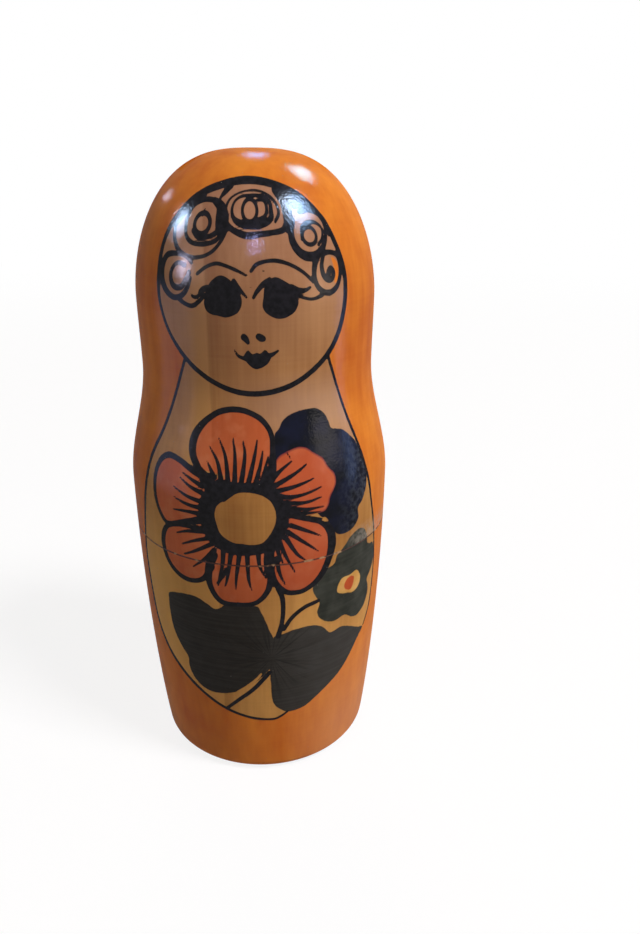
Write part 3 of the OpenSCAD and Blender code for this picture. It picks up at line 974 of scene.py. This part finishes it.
# Points and faces of an outline carried round the axis: a point of the outline at each column's angle, its
# radius times the sine and the cosine, or a single point where an end lies on the axis
def carriedRound(rows, columns):
    count = len(columns)
    startsOnAxis, endsOnAxis = (int(radius == 0) for radius in rows[[0, -1], 0])
    ring = rows[startsOnAxis : len(rows) - endsOnAxis]
    grid = np.empty((len(ring), count, 3))
    grid[:, :, 0] = np.outer(ring[:, 0], np.sin(columns))
    grid[:, :, 1] = -np.outer(ring[:, 0], np.cos(columns))
    grid[:, :, 2] = ring[:, 1:]
    index = startsOnAxis + np.arange(len(ring) * count).reshape(len(ring), count)
    after = np.roll(index, -1, axis=1)
    points = grid.reshape(-1, 3)
    faces = np.stack([index[:-1], after[:-1], after[1:], index[1:]], axis=-1).reshape(-1, 4).tolist()
    if startsOnAxis:
        points = np.vstack([[[0, 0, rows[0, 1]]], points])
        faces = np.column_stack([np.zeros(count, int), after[0], index[0]]).tolist() + faces
    if endsOnAxis:
        points = np.vstack([points, [[0, 0, rows[-1, 1]]]])
        faces += np.column_stack([index[-1], after[-1], np.full(count, len(points) - 1)]).tolist()
    return points, faces


# Adds a smooth mesh with its materials to the scene
def addMesh(name, points, faces, materials):
    mesh = bpy.data.meshes.new(name)
    mesh.from_pydata(points, [], faces)
    mesh.polygons.foreach_set("use_smooth", np.ones(len(mesh.polygons), bool))
    for material in materials:
        mesh.materials.append(material)
    mesh.update()
    added = bpy.data.objects.new(name, mesh)
    bpy.context.scene.collection.objects.link(added)
    return added


# A turned piece: its outline carried round the axis at the doll's scale and height, finished and painted
def turnedPiece(name, stretches, turning, scale, stand, materials):
    rows, finishes = evenOutline(stretches)
    columns = turningColumns(turning)
    count = len(columns)
    fullSize, faces = carriedRound(rows, columns)
    piece = addMesh(name, fullSize * scale * mm + [0, 0, stand], faces, materials)
    mesh = piece.data
    slots = np.repeat(finishes, count).reshape(-1, count)
    slots[np.ix_(finishes == dulled, np.cos(columns) > dollShape["glossyFront"])] = painted
    mesh.polygons.foreach_set("material_index", slots.ravel())

    # each point's place at the outermost doll's size, so that a smaller doll is coloured as that one is
    places = mesh.attributes.new("fullSize", "FLOAT_VECTOR", "POINT")
    places.data.foreach_set("vector", fullSize.astype(np.float32).ravel())
    # the flat layout of each point that may carry paint, with the two ends added back
    ring = rows[1:-1]
    angle = np.where(columns > math.pi, columns - 2 * math.pi, columns)
    flat = np.empty((len(ring), count, 2))
    flat[:, :, 0] = angle * dollShape["bellyRadius"]
    flat[:, :, 1] = ring[:, 1:]
    carries = (finishes[1:] == painted) | (finishes[:-1] == painted)
    fields = paintFields(flat[carries].reshape(-1, 2), turning["pen"])
    for layer, field in fields.items():
        values = np.full((len(ring), count), farFromPaint)
        values[carries] = field.reshape(-1, count)
        values = np.concatenate([[farFromPaint], values.ravel(), [farFromPaint]])
        mesh.attributes.new(layer, "FLOAT", "POINT").data.foreach_set("value", values.astype(np.float32))
    mesh.update()
    mesh.set_sharp_from_angle(angle=math.radians(sharpDegrees))
    return piece


def placeInFrame(piece, node):
    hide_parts(node)
    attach(piece, node)


# Hands that twist the doll open have dulled the lacquer on its crown
dollMaterials = [
    lacqueredLimewood("lacqueredLimewood", paintFinish["gloss"]),
    turnedLimewood(),
    wornLimewood(),
    lacqueredLimewood("dulledLimewood", paintFinish["dulledGloss"]),
]
for number in range(1, dollCount + 1):
    turning = fineTurning if number == 1 else coarseTurning
    solid = number == dollCount
    topNode = f"doll_{number}_solid" if solid else f"doll_{number}_top"
    bottomNode = topNode if solid else f"doll_{number}_bottom"
    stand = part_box(bottomNode)[0].z
    scale = (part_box(topNode)[1].z - stand) / (dollShape["height"] * mm)
    if solid:
        halves = {topNode: solidStretches(turning)}
    else:
        clearance = dollSeam["fitClearance"] / scale
        halves = {topNode: topStretches(turning, clearance), bottomNode: bottomStretches(turning)}
    for node, stretches in halves.items():
        piece = turnedPiece(f"{node}_painted", stretches, turning, scale, stand, dollMaterials)
        placeInFrame(piece, node)
    print(f"doll {number} turned and painted at scale {scale:.3f}")

# Floor and backdrop in metres
studio = {
    "floorRadius": 2.6,
    "sweepRadius": 0.6,
    "wallHeight": 2.6,
    "floorDrop": 0.0002,
    "floorPoints": 14,
    "sweepPoints": 16,
    "columns": 96,
    "paper": "#8F8A84",
    "paperSeen": "#706C68",
    "paperGlow": 0.86,
    "nearRadius": 0.25,
    "farRadius": 1.2,
    "ambient": "#F3EFEA",
    "ambientStrength": 0.10,
}


# Floor that curves up into a wall all round: a flat disc, a quarter turn and an upright, carried round
# the axis
def studioSweep():
    turn = np.linspace(0, math.pi / 2, studio["sweepPoints"])[1:]
    floor = np.linspace(0, studio["floorRadius"], studio["floorPoints"])
    radius = np.concatenate([floor, studio["floorRadius"] + studio["sweepRadius"] * np.sin(turn)])
    height = np.concatenate([floor * 0, studio["sweepRadius"] * (1 - np.cos(turn))])
    rows = np.column_stack([radius, height])
    rows = np.vstack([rows, [[radius[-1], studio["wallHeight"]]]]) - [0, studio["floorDrop"]]
    columns = np.linspace(0, 2 * math.pi, studio["columns"] + 1)[:-1]
    # from the wall inwards, so that the paper faces the doll
    points, faces = carriedRound(rows[::-1], columns)
    sweep = addMesh("studioSweep", points, faces, [backdropPaper()])


# 1 for what the camera, gloss and glass see, 0 for the light that falls on things
def seenRay(tree):
    seen = addNode(tree, "LightPath", out="Is Camera Ray")
    rays = seen.node.outputs
    for kind in ("Is Glossy Ray", "Is Transmission Ray"):
        seen = addNode(tree, "Math", seen, rays[kind], operation="MAXIMUM")
    return seen


# White seamless paper: lit and shadowed near the doll, plain white further off as the camera and gloss
# see it
def backdropPaper():
    material, tree, shader, place = startMaterial("backdropPaper", {})
    tree.nodes.remove(shader)
    paper = addNode(tree, "BsdfDiffuse", hexColour(studio["paper"]))
    shadowed = addNode(tree, "BsdfDiffuse", hexColour(studio["paperSeen"]))
    glow = addNode(tree, "Emission", inputs={"Strength": studio["paperGlow"]})
    near = addNode(tree, "AddShader", shadowed, glow)
    white = addNode(tree, "Emission", inputs={"Strength": 1.0})
    away = addNode(tree, "VectorMath", place, out="Value", operation="LENGTH")
    limits = (studio["nearRadius"], studio["farRadius"])
    far = addNode(tree, "MapRange", away, *limits, interpolation_type="SMOOTHSTEP")
    seen = addNode(tree, "MixShader", far, near, white)
    result = addNode(tree, "MixShader", seenRay(tree), paper, seen)
    tree.links.new(result, tree.nodes["Material Output"].inputs["Surface"])
    return material


studioSweep()
world = bpy.data.worlds.new("studioAir")
world.use_nodes = True
background = world.node_tree.nodes["Background"]
background.inputs["Color"].default_value = hexColour(studio["ambient"])
background.inputs["Strength"].default_value = studio["ambientStrength"]
plain = addNode(world.node_tree, "Background", (1, 1, 1, 1), 1.0)
air = addNode(world.node_tree, "MixShader", seenRay(world.node_tree), background.outputs[0], plain)
world.node_tree.links.new(air, world.node_tree.nodes["World Output"].inputs["Surface"])
bpy.context.scene.world = world
print("floor, backdrop and air ready")

# Soft lamps: degrees round from the front and above the floor with the distance in metres, then width and
# height in metres, power in watts and colour. Those that show only in gloss are like the pale cards that a
# photographer stands beside a lacquered piece.
lampAim = (0, 0, 0.11)
lamps = {
    "lightAndGloss": {
        "keyWindow": ((56, 54, 2.2), (0.5, 0.5), 48.0, "#EEF4FF"),
        "fillWindow": ((-60, 14, 2.2), (1.2, 0.6), 5.6, "#F4F0F4"),
        "rightWindow": ((62, 5, 2.2), (1.0, 0.5), 9.0, "#FFF4EC"),
    },
    "lightOnly": {
        "backWindow": ((188, 8, 2.2), (1.2, 0.6), 18.0, "#FFF6EC"),
    },
    "glossOnly": {
        "keyCard": ((62, 48.6, 2.2), (0.7, 0.74), 264.0, "#ACD0FF"),
        "rimCard": ((136, 51, 2.2), (0.54, 0.44), 80.0, "#80E4FF"),
        "crownCard": ((179, 43, 2.2), (0.22, 0.60), 20.0, "#60B8FF"),
        "leftCard": ((-91, 31, 2.2), (0.34, 0.42), 108.0, "#C0DAFF"),
        "lowCard": ((-71, 12, 2.2), (0.30, 0.24), 44.0, "#E0DCFF"),
        "farCard": ((-134, 25, 2.2), (0.07, 0.10), 7.5, "#E8EEFF"),
        "browCard": ((-1, 31.5, 2.2), (0.17, 0.22), 26.0, "#B4B8FF"),
        "leftReflector": ((-82, -6, 0.34), (0.26, 0.14), 0.32, "#ACC2FF"),
        "rightReflector": ((82, -5, 0.34), (0.05, 0.12), 0.15, "#9ABAFF"),
    },
}
for group, members in lamps.items():
    for name, (at, size, power, colour) in members.items():
        around, above = (math.radians(angle) for angle in at[:2])
        level = math.cos(above)
        toward = Vector((math.sin(around) * level, -math.cos(around) * level, math.sin(above)))
        light = bpy.data.lights.new(name, "AREA")
        light.shape = "RECTANGLE"
        light.size, light.size_y = size
        light.energy = power
        light.color = hexColour(colour)[:3]
        lamp = bpy.data.objects.new(name, light)
        lamp.location = Vector(lampAim) + toward * at[2]
        lamp.rotation_euler = toward.to_track_quat("Z", "Y").to_euler()
        lamp.visible_camera = False
        lamp.visible_diffuse = group != "glossOnly"
        lamp.visible_glossy = group != "lightOnly"
        bpy.context.scene.collection.objects.link(lamp)
    print(f"lamps placed, {group}:", ", ".join(members))

# Camera in metres, radians and pixels of the 640 by 934 image
viewpoint = {
    "back": 0.20857,
    "height": 0.16740,
    "pitch": 0.3821,
    "yaw": 0.083,
    "roll": 0.0059,
    "focalPixels": 766.36,
    "longSidePixels": 934,
    "sensor": 36.0,
    "nearest": 0.01,
}


def placeCamera():
    yaw, pitch, roll = viewpoint["yaw"], viewpoint["pitch"], viewpoint["roll"]
    ahead = Vector((math.sin(yaw) * math.cos(pitch), math.cos(yaw) * math.cos(pitch), -math.sin(pitch)))
    right = Vector((math.cos(yaw), -math.sin(yaw), 0))
    up = right.cross(ahead)
    turnedRight = math.cos(roll) * right + math.sin(roll) * up
    turnedUp = math.cos(roll) * up - math.sin(roll) * right
    lens = bpy.data.cameras.new("photoCamera")
    lens.sensor_width = viewpoint["sensor"]
    lens.lens = viewpoint["focalPixels"] / viewpoint["longSidePixels"] * viewpoint["sensor"]
    lens.clip_start = viewpoint["nearest"]
    camera = bpy.data.objects.new("photoCamera", lens)
    place = Matrix((turnedRight, turnedUp, -ahead)).transposed().to_4x4()
    place.translation = (0, -viewpoint["back"], viewpoint["height"])
    camera.matrix_world = place
    bpy.context.scene.collection.objects.link(camera)
    bpy.context.scene.camera = camera


placeCamera()
bpy.context.scene.view_settings.view_transform = "Standard"
print("camera placed")
